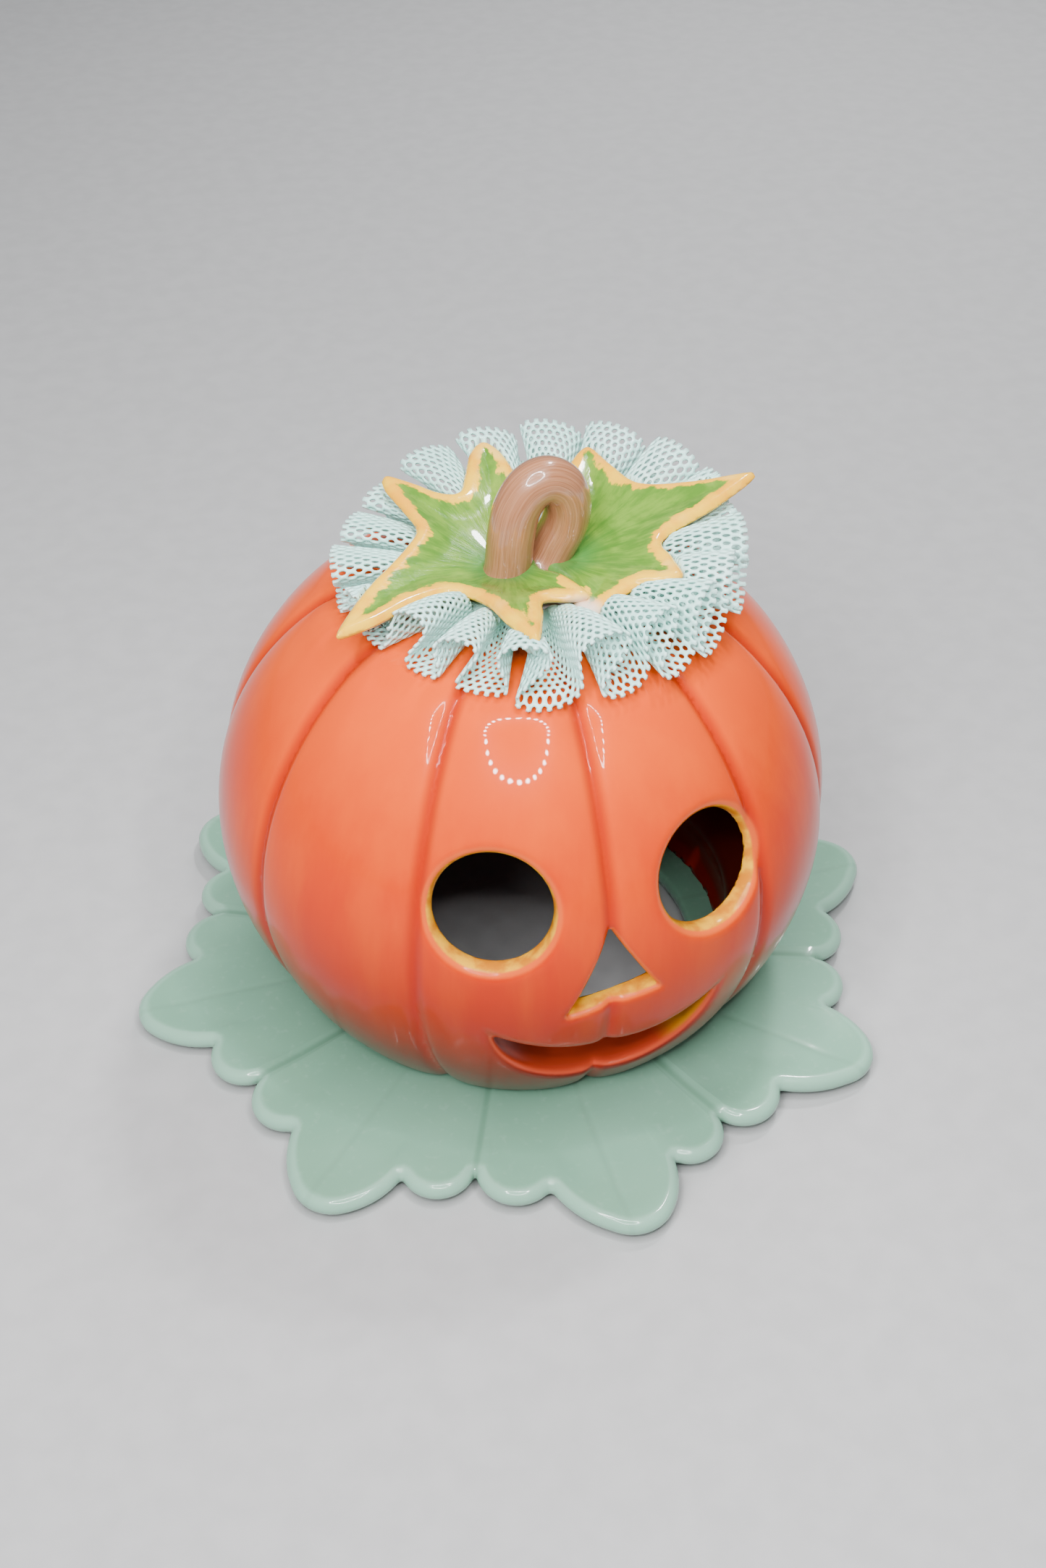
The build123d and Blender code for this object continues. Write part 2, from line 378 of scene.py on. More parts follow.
def add_pumpkin():
    cell = PUMPKIN_CELL
    reach = RADIUS + 3
    low = (-reach, -reach, SEAT_Z - 3)
    high = (reach, reach, CROWN_Z + 4)
    points, quads, normals = surface_net(pumpkin_field, low, high, cell)
    _, groove = groove_offset(points)
    return make_mesh(
        "pumpkin_glazed",
        points + np.array(PUMPKIN_PLACE),
        quads,
        normals,
        depth=-pumpkin_outside(points),
        eye=np.minimum(eyes_field(points), nose_field(points)),
        mouth=mouth_field(points),
        groove=groove,
        hollow=pumpkin_inside(points),
    )


# ---- The plate of leaves ----
LEAVES = 8
# How far each leaf's tip swings from the middle of its leaf, in degrees, starting at +X
TIP_SWINGS = (2.6, 0.8, -1.2, 1.0, -0.4, 1.0, 2.2, 2.6)
TIP_RADIUS = 100.0
NOTCH_RADIUS = 79.5
# A leaf's edge, as arcs through three (radius, degrees from the leaf's middle) points, with their steps.
# It goes round a side lobe, the long lobe and the other side lobe.
LEAF_ARCS = (
    ((NOTCH_RADIUS, -180 / LEAVES), (87.6, -16.2), (84.1, -10.5), 30),
    ((84.1, -10.5), (90.9, -8.2), (97.2, -4.4), 26),
    ((97.2, -4.4), (TIP_RADIUS, 0.0), (97.2, 4.4), 28),
    ((97.2, 4.4), (90.9, 8.2), (84.1, 10.5), 26),
    ((84.1, 10.5), (87.6, 16.2), (NOTCH_RADIUS, 180 / LEAVES), 30),
)
EDGE_SMOOTHING = 3
PLATE_HOLE = 46.5
PLATE_TOP = 6.4
PLATE_THICK = 4.0
RIM_ROUND = 2.4
HOLE_ROUND = 1.0
FOOT_RADII = (48.0, 56.0)
FOOT_SLOPES = (1.2, 2.0)
VEIN_DEPTH = 0.16
VEIN_WIDTH = 1.0
SEAM_DEPTH = 0.6
SEAM_WIDTH = 0.9
LAP_HEIGHT = 0.5
LAP_WIDTH = 9.0
LAP_STEP = 1.4
DISH_DEPTH = 0.5
DROOP = 0.9
DROOP_FROM = 78.0
TOP_STEPS = 64
UNDER_STEPS = 40
RIM_STEPS = 12
HOLE_STEPS = 8


def arc_points(start, middle, end, count):
    """Points along the arc through three points, without its end."""
    a, b, c = (np.array(point, float) for point in (start, middle, end))
    d = 2 * (a[0] * (b[1] - c[1]) + b[0] * (c[1] - a[1]) + c[0] * (a[1] - b[1]))
    aa, bb, cc = a @ a, b @ b, c @ c
    centre = np.array(
        [
            aa * (b[1] - c[1]) + bb * (c[1] - a[1]) + cc * (a[1] - b[1]),
            aa * (c[0] - b[0]) + bb * (a[0] - c[0]) + cc * (b[0] - a[0]),
        ]
    ) / d
    radius = np.linalg.norm(a - centre)
    first = np.arctan2(*(a - centre)[::-1])
    last = np.arctan2(*(c - centre)[::-1])
    through = np.arctan2(*(b - centre)[::-1])
    sweep = (last - first) % (2 * pi)
    if (through - first) % (2 * pi) > sweep:
        sweep -= 2 * pi
    angles = first + sweep * np.arange(count) / count
    return centre + radius * np.stack([np.cos(angles), np.sin(angles)], -1)


def plate_outline():
    """One turn of points round the plate's edge."""
    points = []
    for leaf in range(LEAVES):
        middle = leaf * 360 / LEAVES
        for start, through, end, count in LEAF_ARCS:
            corners = []
            for radius, angle in (start, through, end):
                pull = max(0.0, (radius - NOTCH_RADIUS) / (TIP_RADIUS - NOTCH_RADIUS))
                turn = radians(middle + angle + TIP_SWINGS[leaf] * pull)
                corners.append((radius * cos(turn), radius * sin(turn)))
            points.append(arc_points(*corners, count))
    outline = np.concatenate(points)
    for _ in range(EDGE_SMOOTHING):
        outline = 0.25 * np.roll(outline, 1, 0) + 0.5 * outline + 0.25 * np.roll(outline, -1, 0)
    return outline


def leaf_lines(x, y):
    """The distance from the axis, and the signed distances to the nearest vein and seam."""
    r = np.hypot(x, y)
    angle = np.degrees(np.arctan2(y, x))
    step = 360 / LEAVES
    vein = np.radians((angle + step / 2) % step - step / 2) * r
    seam = np.radians(angle % step - step / 2) * r
    return r, vein, seam


def droop(r):
    """How far the plate falls towards its tips."""
    return -DROOP * smooth_step(DROOP_FROM, TIP_RADIUS, r)


def plate_relief(x, y, inset):
    """The top's height over the plate's flat level. inset is the distance in from the edge."""
    r, from_vein, from_seam = leaf_lines(x, y)
    vein = -VEIN_DEPTH * np.exp(-((from_vein / VEIN_WIDTH) ** 2))
    vein = vein * smooth_step(57, 63, r) * (1 - smooth_step(88, 95, r))
    seam = -SEAM_DEPTH * np.exp(-((from_seam / SEAM_WIDTH) ** 2)) * (1 - smooth_step(79.0, 81.0, r))
    lap = LAP_HEIGHT * smooth_step(0.0, LAP_STEP, from_seam)
    lap = lap * (1 - smooth_step(LAP_STEP, LAP_WIDTH, from_seam)) * (1 - smooth_step(78.0, 83.0, r))
    dish = DISH_DEPTH - DISH_DEPTH * smooth_step(2.0, 14.0, inset)
    return vein + seam + lap + dish + droop(r)


def add_plate():
    """The plate, as rings: out over the top, round the rim, in under it and up through the hole."""
    outline = plate_outline()
    count = len(outline)
    ahead = unit(np.roll(outline, -1, 0) - np.roll(outline, 1, 0))
    outward = np.stack([ahead[:, 1], -ahead[:, 0]], -1)
    inner_edge = outline - outward * RIM_ROUND
    turns = np.arctan2(inner_edge[:, 1], inner_edge[:, 0])
    spokes = np.stack([np.cos(turns), np.sin(turns)], -1)
    hole = spokes * (PLATE_HOLE + HOLE_ROUND)
    span = np.linalg.norm(inner_edge - hole, axis=-1)
    bottom = PLATE_TOP - PLATE_THICK
    rings = []
    edges = []

    def add_ring(flat, height, edge):
        rings.append(np.column_stack([flat, np.broadcast_to(height, count)]))
        edges.append(np.broadcast_to(edge, count))

    def top_height(flat, inset):
        return PLATE_TOP + plate_relief(flat[:, 0], flat[:, 1], inset)

    for share in np.arange(TOP_STEPS + 1) / TOP_STEPS:
        flat = hole * (1 - share) + inner_edge * share
        inset = (1 - share) * span
        add_ring(flat, top_height(flat, RIM_ROUND + inset), inset + 1.0)
    for turn in np.linspace(0, pi, RIM_STEPS + 1)[1:-1]:
        flat = inner_edge + outward * RIM_ROUND * sin(turn)
        top = top_height(flat, RIM_ROUND * (1 - sin(turn)))
        low = bottom + droop(np.hypot(outline[:, 0], outline[:, 1]))
        blend = 0.5 - 0.5 * cos(turn)
        add_ring(flat, top * (1 - blend) + low * blend, 0.0)
    for share in 1 - np.arange(UNDER_STEPS + 1) / UNDER_STEPS:
        flat = hole * (1 - share) + inner_edge * share
        r = np.hypot(flat[:, 0], flat[:, 1])
        foot = smooth_step(FOOT_RADII[0] - FOOT_SLOPES[0], FOOT_RADII[0], r)
        foot = foot * (1 - smooth_step(FOOT_RADII[1], FOOT_RADII[1] + FOOT_SLOPES[1], r))
        add_ring(flat, (bottom + droop(r)) * (1 - foot), FAR_IN)
    for turn in np.linspace(0, pi, HOLE_STEPS + 1)[1:-1]:
        flat = spokes * (PLATE_HOLE + HOLE_ROUND - HOLE_ROUND * sin(turn))
        blend = 0.5 + 0.5 * cos(turn)
        add_ring(flat, bottom * blend + top_height(flat, FAR_IN) * (1 - blend), FAR_IN)

    quads = []
    for ring in range(len(rings)):
        quads.append(band(ring * count, (ring + 1) % len(rings) * count, count))
    quads = np.concatenate(quads)[:, ::-1]
    points = np.concatenate(rings)
    edge = np.concatenate(edges)
    _, vein, seam = leaf_lines(points[:, 0], points[:, 1])
    return make_mesh("plate_glazed", points, quads, edge=edge, seam=np.abs(seam), vein=np.abs(vein))


# ---- The crown's two painted leaves ----
LEAF_THICK = 3.4
LEAF_ROUND = 3.2
LEAF_CELL = 0.6
# The border stands up by this much, and falls to nothing this far in
BORDER_HEIGHT = 1.5
BORDER_WIDTH = 9.0
# Evens out the field where the leaf slopes
SLOPE_ALLOWANCE = 0.93
FOOT_Z = 121.8
# From its foot, a leaf first rises by this much over about this distance
FOOT_RISE = 2.6
FOOT_SPREAD = 12.0
LEFT_FOOT = (0.0, 2.0)
RIGHT_FOOT = (12.0, 1.0)
# The right leaf's front tip is nearly bare of paint, in metres
PALE_TIP = (0.010, -0.023, 0.121)
# The slope up from the foot, by the direction from the foot (degrees from +X)
LEFT_RISE = ((-96.0, 0.09), (-54.0, 0.05), (10.0, 0.12), (83.0, 0.19), (134.0, 0.18), (205.0, 0.03))
RIGHT_RISE = ((-100.0, -0.05), (-45.0, 0.10), (7.0, 0.185), (65.0, 0.25), (180.0, 0.0))
LEFT_OUTLINE = (
    (-44.5, -19.5), (-38.9, -9.5), (-32.9, -2.0), (-27.8, 3.0), (-22.0, 9.0), (-18.6, 14.0),
    (-20.0, 20.3), (-22.6, 29.5), (-20.8, 33.5), (-14.7, 30.0), (-9.6, 26.0), (-5.4, 25.5),
    (-2.5, 31.0), (1.0, 38.5), (5.4, 41.0), (9.0, 35.0), (10.0, 22.0), (8.0, 9.0),
    (6.8, -2.0), (10.4, -9.0), (13.2, -19.4), (8.4, -20.4), (2.8, -19.4), (0.6, -26.0),
    (-3.8, -36.2), (-8.0, -27.0), (-10.2, -16.5), (-15.0, -9.8), (-24.5, -11.2), (-35.0, -17.0),
)
RIGHT_OUTLINE = (
    (28.6, 30.2), (32.2, 22.5), (36.5, 15.0), (48.0, 10.4), (61.8, 6.0), (50.0, -1.0),
    (35.4, -6.0), (35.0, -13.0), (34.8, -20.6), (30.0, -22.0), (24.0, -20.2), (16.5, -23.0),
    (9.0, -24.8), (10.0, -12.0), (8.0, 0.0), (9.0, 8.0), (18.0, 20.0), (23.5, 28.0),
)
# Each leaf's piece, its node, its outline, its foot and its rise
PAINTED_LEAVES = (
    ("left_painted_leaf", "left_leaf", LEFT_OUTLINE, LEFT_FOOT, LEFT_RISE),
    ("right_painted_leaf", "right_leaf", RIGHT_OUTLINE, RIGHT_FOOT, RIGHT_RISE),
)


def leaf_top(x, y, foot, rise):
    """The height of a leaf's top, without its border."""
    dx, dy = x - foot[0], y - foot[1]
    away = np.hypot(dx, dy)
    slope = around(np.degrees(np.arctan2(dy, dx)), rise)
    return FOOT_Z + FOOT_RISE * (1 - np.exp(-((away / FOOT_SPREAD) ** 2))) + slope * away


def leaf_side(x, y, knots):
    """The distance inside (negative) or outside a leaf's outline, in plan."""
    return segment_distance(x, y, closed_curve(knots))


def add_leaf(name, knots, foot, rise):
    def levels(points, side):
        """The leaf's top: a shallow dish with a raised, rounded border."""
        inset = np.clip(-side, 0.0, 20.0)
        border = BORDER_HEIGHT * (1 - smooth_step(1.0, BORDER_WIDTH, inset))
        return leaf_top(points[:, 0], points[:, 1], foot, rise) + border

    def field(points):
        side = leaf_side(points[:, 0], points[:, 1], knots)
        middle = levels(points, side) - LEAF_THICK / 2
        slab = (np.abs(points[:, 2] - middle) - LEAF_THICK / 2) * SLOPE_ALLOWANCE
        return smooth_max(slab, side, LEAF_ROUND)

    corners = np.array(knots)
    low = (*(corners.min(0) - 2), FOOT_Z - LEAF_THICK - 4)
    high = (*(corners.max(0) + 2), FOOT_Z + 20)
    cell = LEAF_CELL
    points, quads, normals = surface_net(field, low, high, cell)
    side = leaf_side(points[:, 0], points[:, 1], knots)
    dx, dy = points[:, 0] - foot[0], points[:, 1] - foot[1]
    away = np.maximum(np.hypot(dx, dy), 0.1)
    return make_mesh(
        name,
        points,
        quads,
        normals,
        edge=-side,
        under=levels(points, side) - points[:, 2],
        away=away,
        ray_x=dx / away,
        ray_y=dy / away,
    )


# ---- The stalk ----
STEM_RADIUS = 5.5
STEM_STEPS = 10
STEM_SIDES = 72
# Slow waves make the coil uneven
STEM_WAVES = 6
WAVE_HEIGHT = 0.04
# The coil is wider by FOOT_FLARE at its two ends, over this share of its length
FOOT_FLARE = 1.3
FLARE_SHARE = 0.06
END_BULGE = 0.5
STEM_KNOTS = (
    (-0.6, 1.0, 119.6), (0.2, 1.2, 125.0), (0.9, 1.6, 131.0), (2.4, 2.2, 137.0), (5.6, 2.8, 141.4),
    (9.8, 3.2, 142.6), (13.4, 3.6, 140.0), (14.9, 4.0, 135.0), (14.3, 4.2, 130.0), (12.0, 4.2, 125.2),
    (8.9, 3.8, 119.6),
)


def add_stem():
    """The coil: a slightly uneven tube, closed at both ends."""
    line = open_curve(STEM_KNOTS, STEM_STEPS)
    ahead = unit(np.gradient(line, axis=0))
    side = np.array([0.0, 1.0, 0.0])
    count = len(line)
    waves = np.random.default_rng(SEED).normal(size=(STEM_WAVES, 3))
    points = []
    runs = []
    turns = []
    for share, middle, along in zip(np.linspace(0, 1, count), line, ahead):
        up = side - along * (side @ along)
        up /= np.linalg.norm(up)
        across = np.cross(along, up)
        foot = max(0.0, 1 - min(share, 1 - share) / FLARE_SHARE)
        for turn in np.arange(STEM_SIDES) * 2 * pi / STEM_SIDES:
            bump = 0.0
            for wave, (height, twist, lag) in enumerate(waves, 2):
                bump += WAVE_HEIGHT * height * sin(wave * turn + 5 * twist * share + lag)
            radius = STEM_RADIUS + bump + FOOT_FLARE * foot**2
            points.append(middle + radius * (cos(turn) * up + sin(turn) * across))
            runs.append(share)
            turns.append(turn)
    faces = []
    for ring in range(count - 1):
        faces += band(ring * STEM_SIDES, (ring + 1) * STEM_SIDES, STEM_SIDES).tolist()
    start = len(points)
    end = start + 1
    points.append(line[0] - ahead[0] * END_BULGE)
    points.append(line[-1] + ahead[-1] * END_BULGE)
    runs += [0.0, 1.0]
    turns += [0.0, 0.0]
    last = (count - 1) * STEM_SIDES
    for index in range(STEM_SIDES):
        after = (index + 1) % STEM_SIDES
        faces.append([start, after, index])
        faces.append([end, last + index, last + after])
    return make_mesh("stalk", points, faces, run=runs, turn_x=np.cos(turns), turn_y=np.sin(turns))


# ---- The joining clay under the leaves: flat lumps, by middle and radius ----
PAD_LUMPS = (
    (5, 0, 119.0, 13.0),
    (-4, -5, 118.5, 7.5),
    (13, -6, 118.6, 8.0),
    (10, 8, 118.8, 8.0),
    (-2, 9, 119, 7),
)
LUMP_FLATNESS = 0.22
LUMP_JOIN = 1.5
PAD_LOW = (-18, -20, 112)
PAD_HIGH = (26, 22, 126)
PAD_CELL = 0.8
# Evens out a flat lump's field
FLATNESS_ALLOWANCE = 0.35


def pad_field(points):
    shape = np.full(len(points), 1e3)
    for x, y, z, radius in PAD_LUMPS:
        offset = (points - np.array([x, y, z])) / np.array([1, 1, LUMP_FLATNESS])
        lump = (np.linalg.norm(offset, axis=-1) - radius) * FLATNESS_ALLOWANCE
        shape = smooth_min(shape, lump, LUMP_JOIN)
    return shape


def add_pad():
    points, quads, normals = surface_net(pad_field, PAD_LOW, PAD_HIGH, PAD_CELL)
    return make_mesh("joining_clay_pad", points, quads, normals)


# ---- The net ruffle ----
# One row for each flute: the bearing, height and reach of the crest's edge, and then the same for
# the valley's edge after it. Each crest curls over its valley, like a breaking wave.
FLUTES = (
    (-59.0, 129.0, 38.5, -52.0, 115.8, 42.5),
    (-40.0, 127.5, 40.0, -32.0, 115.8, 43.5),
    (-17.0, 128.5, 41.0, -13.5, 115.8, 46.0),
    (10.0, 129.5, 40.5, 9.0, 116.0, 46.0),
    (31.0, 129.5, 40.5, 26.0, 116.6, 47.0),
    (49.0, 129.5, 44.0, 40.5, 117.0, 48.0),
    (67.0, 129.0, 46.5, 60.5, 118.0, 49.5),
    (83.0, 130.5, 50.0, 81.0, 119.5, 51.0),
    (102.0, 132.5, 50.5, 103.0, 121.0, 51.0),
    (120.0, 134.0, 50.0, 121.3, 122.0, 50.0),
    (140.5, 135.0, 48.0, 140.3, 122.5, 48.0),
    (160.0, 135.0, 46.0, 160.3, 122.0, 46.0),
    (180.5, 133.5, 45.5, 180.3, 121.0, 45.5),
    (200.0, 131.0, 46.5, 200.0, 119.5, 46.0),
    (220.0, 128.0, 45.5, 219.0, 118.0, 45.0),
    (238.0, 127.0, 45.0, 239.0, 117.5, 45.0),
    (257.5, 126.5, 46.0, 262.0, 117.0, 45.0),
    (281.0, 126.5, 43.5, 285.0, 115.8, 42.5),
)
# A crest's curl, and its extra width at the back, as shares of the spacing
CURL = 0.25
BACK_CREST = 0.12
# How fast the curl, the wave and the rise grow from the gather to the edge
CURL_POWER = 0.7
WAVE_POWER = 0.65
RISE_POWER = 0.9
# The strip arches between its two edges, and more so at the crests
ARCH = 0.3
CREST_ARCH = 1.8
# A small sway of the flutes, this many times round
SWAY = 0.35
SWAYS = 23
SWAY_LAG = 5.0
NET_ROWS = 17
NET_COLUMNS = 356
# The rows next to the gather have no holes
SOLID_ROWS = 3
NET_THICK = 0.62
# The holes' size and its growth outwards, as shares of a cell, their unevenness and their stretch
HOLE_SIZE = 0.42
HOLE_GROWTH = 0.20
HOLE_SPREAD = (0.86, 1.08)
HOLE_STRETCH = (0.80, 1.16)
GATHER_RADIUS = 13.0
GATHER_Z = 119.2
# How far across the cells are spaced evenly, and where the teeth end
EVEN_AT = 0.9
TEETH_END = 1.03
LEAF_CLEARANCE = 0.2
GLAZE_CLEARANCE = 0.15
# Past a leaf's edge, the strip may stand this much higher
RELEASE = 30.0


def under_leaves(x, y):
    """The greatest height that clears the leaves' undersides."""
    limit = np.full(np.shape(x), 200.0)
    for _, _, knots, foot, rise in PAINTED_LEAVES:
        outside = smooth_step(-1.0, 4.0, leaf_side(x, y, knots))
        underside = leaf_top(x, y, foot, rise) - LEAF_THICK - NET_THICK - LEAF_CLEARANCE
        limit = np.minimum(limit, underside + RELEASE * outside)
    return limit


def rest_line(steps, crests, valleys, full_turn=0.0):
    """The line that the wave of crests and valleys swings about, at so many half flutes along.

    full_turn is what one time round adds to the values.
    """
    before = np.roll(valleys, 1)
    before[0] -= full_turn
    after = np.roll(crests, -1)
    after[-1] += full_turn
    at_crest = (2 * crests + before + valleys) / 4
    at_valley = (2 * valleys + crests + after) / 4
    knots = np.append(np.stack([at_crest, at_valley], -1).ravel(), at_crest[0] + full_turn)
    return np.interp(steps, np.arange(len(knots)), knots)


def flute_path(phase, across):
    """Points of the ruffle. A flute is 2 pi of phase, and across runs from 0 at the gather to 1."""
    count = len(FLUTES)
    crest_turn, crest_z, crest_reach, valley_turn, valley_z, valley_reach = np.array(FLUTES).T
    turned = phase % (2 * pi * count)
    steps = turned / pi
    crest = np.rint(steps / 2).astype(int)
    valley = np.minimum(np.floor(steps / 2).astype(int), count - 1)
    up = 0.5 + 0.5 * np.cos(turned)

    def edge(crests, valleys, full_turn=0.0):
        crests = np.append(crests, crests[0] + full_turn)
        return crests[crest] * up + valleys[valley] * (1 - up)

    spacing = np.diff(np.append(crest_turn, crest_turn[0] + 360.0))
    spacing = np.interp(steps, 2 * np.arange(count) + 1, spacing, period=2 * count)
    bearing = rest_line(steps, crest_turn, valley_turn, 360.0) * (1 - across)
    bearing = bearing + edge(crest_turn, valley_turn, 360.0) * across
    wide = BACK_CREST * (0.5 - 0.5 * np.cos(np.radians(bearing)))
    curl = CURL * np.sin(2 * turned) + wide * np.sin(turned)
    bearing = bearing + across**CURL_POWER * spacing * curl
    radius = GATHER_RADIUS + (edge(crest_reach, valley_reach) - GATHER_RADIUS) * across
    rest = rest_line(steps, crest_z, valley_z)
    arch = np.sin(pi * across) * (ARCH + CREST_ARCH * up)
    sway = SWAY * np.sin(turned * SWAYS / count + SWAY_LAG * across) * across
    wave = (edge(crest_z, valley_z) - rest) * across**WAVE_POWER
    height = GATHER_Z + (rest - GATHER_Z) * across**RISE_POWER + wave + arch + sway
    turn = np.radians(bearing)
    x = CROWN_X + radius * np.sin(turn)
    y = -radius * np.cos(turn)
    height = np.minimum(height, under_leaves(x, y))
    floor = pumpkin_height(x, y) + NET_THICK * 0.5 + GLAZE_CLEARANCE
    return np.stack([x, y, np.maximum(height, floor)], -1)


def pumpkin_height(x, y):
    """The height of the pumpkin's shoulder at a place in plan."""
    r2 = ((x - PUMPKIN_PLACE[0]) ** 2 + (y - PUMPKIN_PLACE[1]) ** 2) / RADIUS**2
    return np.minimum(EQUATOR_Z + TOP_HEIGHT * np.sqrt(1 - np.minimum(r2, 0.98)), CROWN_Z - 0.3)


def net_cells():
    """The flat net: its points, in cells along and rows across, and its triangles and quads."""
    columns, rows = np.meshgrid(np.arange(NET_COLUMNS), np.arange(NET_ROWS))
    columns = columns.ravel()
    rows = rows.ravel()
    centre_u = columns + 0.5 * (rows % 2)
    centre_v = rows + 0.5
    # The cells are six-sided, and share their outer corners
    angles = np.radians(np.arange(6) * 60 + 30)
    outer_u = centre_u[:, None] + np.cos(angles) / np.sqrt(3)
    outer_v = centre_v[:, None] + np.sin(angles) * 2 / 3
    key_u = np.rint(outer_u * 6).astype(int) % (NET_COLUMNS * 6)
    key_v = np.rint(outer_v * 6).astype(int)
    keys = np.stack([key_u.ravel(), key_v.ravel()], -1)
    shared, corner = np.unique(keys, axis=0, return_inverse=True)
    corner = corner.reshape(-1, 6)
    # The holes are twelve-sided, and slightly uneven
    random = np.random.default_rng(SEED)
    opening = HOLE_SIZE + HOLE_GROWTH * smooth_step(0.15, 0.6, centre_v / NET_ROWS)
    opening = (opening * random.uniform(*HOLE_SPREAD, len(opening)))[:, None]
    angles = np.radians(np.arange(12) * 30 + 30)
    hole_u = centre_u[:, None] + HOLE_STRETCH[0] * opening * np.cos(angles) / np.sqrt(3)
    hole_v = centre_v[:, None] + HOLE_STRETCH[1] * opening * np.sin(angles) * 2 / 3
    hole = len(shared) + np.arange(len(columns) * 12).reshape(-1, 12)

    # Each side of an open cell is a strand, of three triangles from its two corners to the hole
    last = rows == NET_ROWS - 1
    open_cells = rows >= SOLID_ROWS
    triangles = []
    for side in range(6):
        keep = open_cells & ~(last & (side < 2))
        start = corner[keep, side]
        end = corner[keep, (side + 1) % 6]
        first = hole[keep, 2 * side]
        mid = hole[keep, 2 * side + 1]
        final = hole[keep, (2 * side + 2) % 12]
        triangles.append(np.stack([start, end, mid], -1))
        triangles.append(np.stack([start, mid, first], -1))
        triangles.append(np.stack([end, final, mid], -1))
    closed = corner[~open_cells]
    quads = [closed[:, [0, side, side + 1, (side + 2) % 6]] for side in (1, 3)]
    u = np.concatenate([shared[:, 0] / 6, hole_u.ravel()])
    v = np.concatenate([shared[:, 1] / 6, hole_v.ravel()])
    return u, v, np.concatenate(triangles), np.concatenate(quads)


def add_ruffle():
    """A strip of net with rounded holes, gathered along one edge and toothed along the other."""
    samples = np.linspace(0, 2 * pi * len(FLUTES), 6000)
    outer = flute_path(samples, np.full(samples.shape, EVEN_AT))
    run = np.concatenate([[0], np.cumsum(np.linalg.norm(np.diff(outer, axis=0), axis=-1))])

    def place(u, v):
        phase = np.interp((u % NET_COLUMNS) / NET_COLUMNS * run[-1], run, samples)
        return flute_path(phase, np.clip(v / NET_ROWS, 0.0, TEETH_END))

    u, v, triangles, quads = net_cells()
    middle = place(u, v)
    along = place(u + 0.15, v) - place(u - 0.15, v)
    out = place(u, v + 0.1) - place(u, v - 0.1)
    normals = unit(np.cross(along, out))

    # Two skins, and walls between them along every edge that only one face uses
    total = len(u)
    edges = [triangles[:, [k, (k + 1) % 3]] for k in range(3)]
    edges += [quads[:, [k, (k + 1) % 4]] for k in range(4)]
    edges = np.concatenate(edges)
    code = edges.min(-1).astype(np.int64) * total + edges.max(-1)
    _, first, uses = np.unique(code, return_index=True, return_counts=True)
    border = edges[first[uses == 1]]
    walls = np.stack([border[:, 1], border[:, 0], border[:, 0] + total, border[:, 1] + total], -1)
    points = np.concatenate([middle + normals * NET_THICK / 2, middle - normals * NET_THICK / 2])
    faces = [triangles, triangles[:, ::-1] + total, quads, quads[:, ::-1] + total, walls]
    used = np.unique(np.concatenate([part.ravel() for part in faces]))
    number = np.full(2 * total, -1)
    number[used] = np.arange(len(used))
    across = np.tile(v, 2)[used] / NET_ROWS
    listed = [face for part in faces for face in number[part].tolist()]
    return make_mesh("lace_net_ruffle", points[used], listed, across=across)


# ---- Materials, with linear colours ----
ORANGE = ((0.64, 0.030, 0.0006), (0.71, 0.045, 0.0008))
ORANGE_BRUSHED = (0.82, 0.085, 0.001)
# Painted light: a lighter orange laid over the pumpkin's top
ORANGE_PAINTED_TOP_LIGHT = (0.86, 0.110, 0.0015)
# Painted shade: a dark orange laid over the pumpkin's lower half
ORANGE_PAINTED_LOW_SHADE = (0.16, 0.0025, 0.0008)
ORANGE_GROOVE = (0.42, 0.010, 0.0005)
ORANGE_EYE_RIM = (0.90, 0.17, 0.025)
ORANGE_MOUTH_RIM = (0.92, 0.13, 0.05)
# Painted shade: the glazed inside of the shell, darkened
SHELL_INSIDE_PAINTED_SHADE = (0.13, 0.012, 0.007)
EYE_YELLOW = ((0.60, 0.19, 0.004), (0.86, 0.42, 0.010))
LIP_RED = (0.50, 0.050, 0.020)
LIP_YELLOW = (0.62, 0.26, 0.008)
MINT = ((0.170, 0.360, 0.248), (0.205, 0.405, 0.290))
MINT_SPECK = (0.28, 0.46, 0.35)
MINT_RIM = (0.33, 0.55, 0.43)
MINT_SEAM = (0.10, 0.23, 0.150)
MINT_VEIN = (0.15, 0.28, 0.20)
NET = ((0.50, 0.84, 0.77), (0.60, 0.90, 0.85))
NET_GATHER = (0.30, 0.62, 0.52)
NET_EDGE = (0.64, 0.86, 0.82)
GREEN = ((0.085, 0.215, 0.020), (0.160, 0.310, 0.030))
GREEN_POOL = (0.27, 0.40, 0.055)
GREEN_DARK = (0.045, 0.155, 0.012)
GREEN_FOOT = (0.045, 0.20, 0.045)
YELLOW = ((0.90, 0.38, 0.002), (0.97, 0.55, 0.010))
CREAM = (0.95, 0.64, 0.17)
LEAF_UNDER = (0.86, 0.42, 0.04)
BARE_TIP = (0.84, 0.70, 0.66)
STALK = ((0.27, 0.105, 0.046), (0.40, 0.170, 0.085))
STALK_LIGHT = (0.50, 0.27, 0.145)
STALK_DARK = (0.17, 0.060, 0.024)
CLAY = ((0.48, 0.40, 0.45), (0.36, 0.16, 0.10))
FLOOR = ((0.44, 0.44, 0.445), (0.47, 0.47, 0.475))


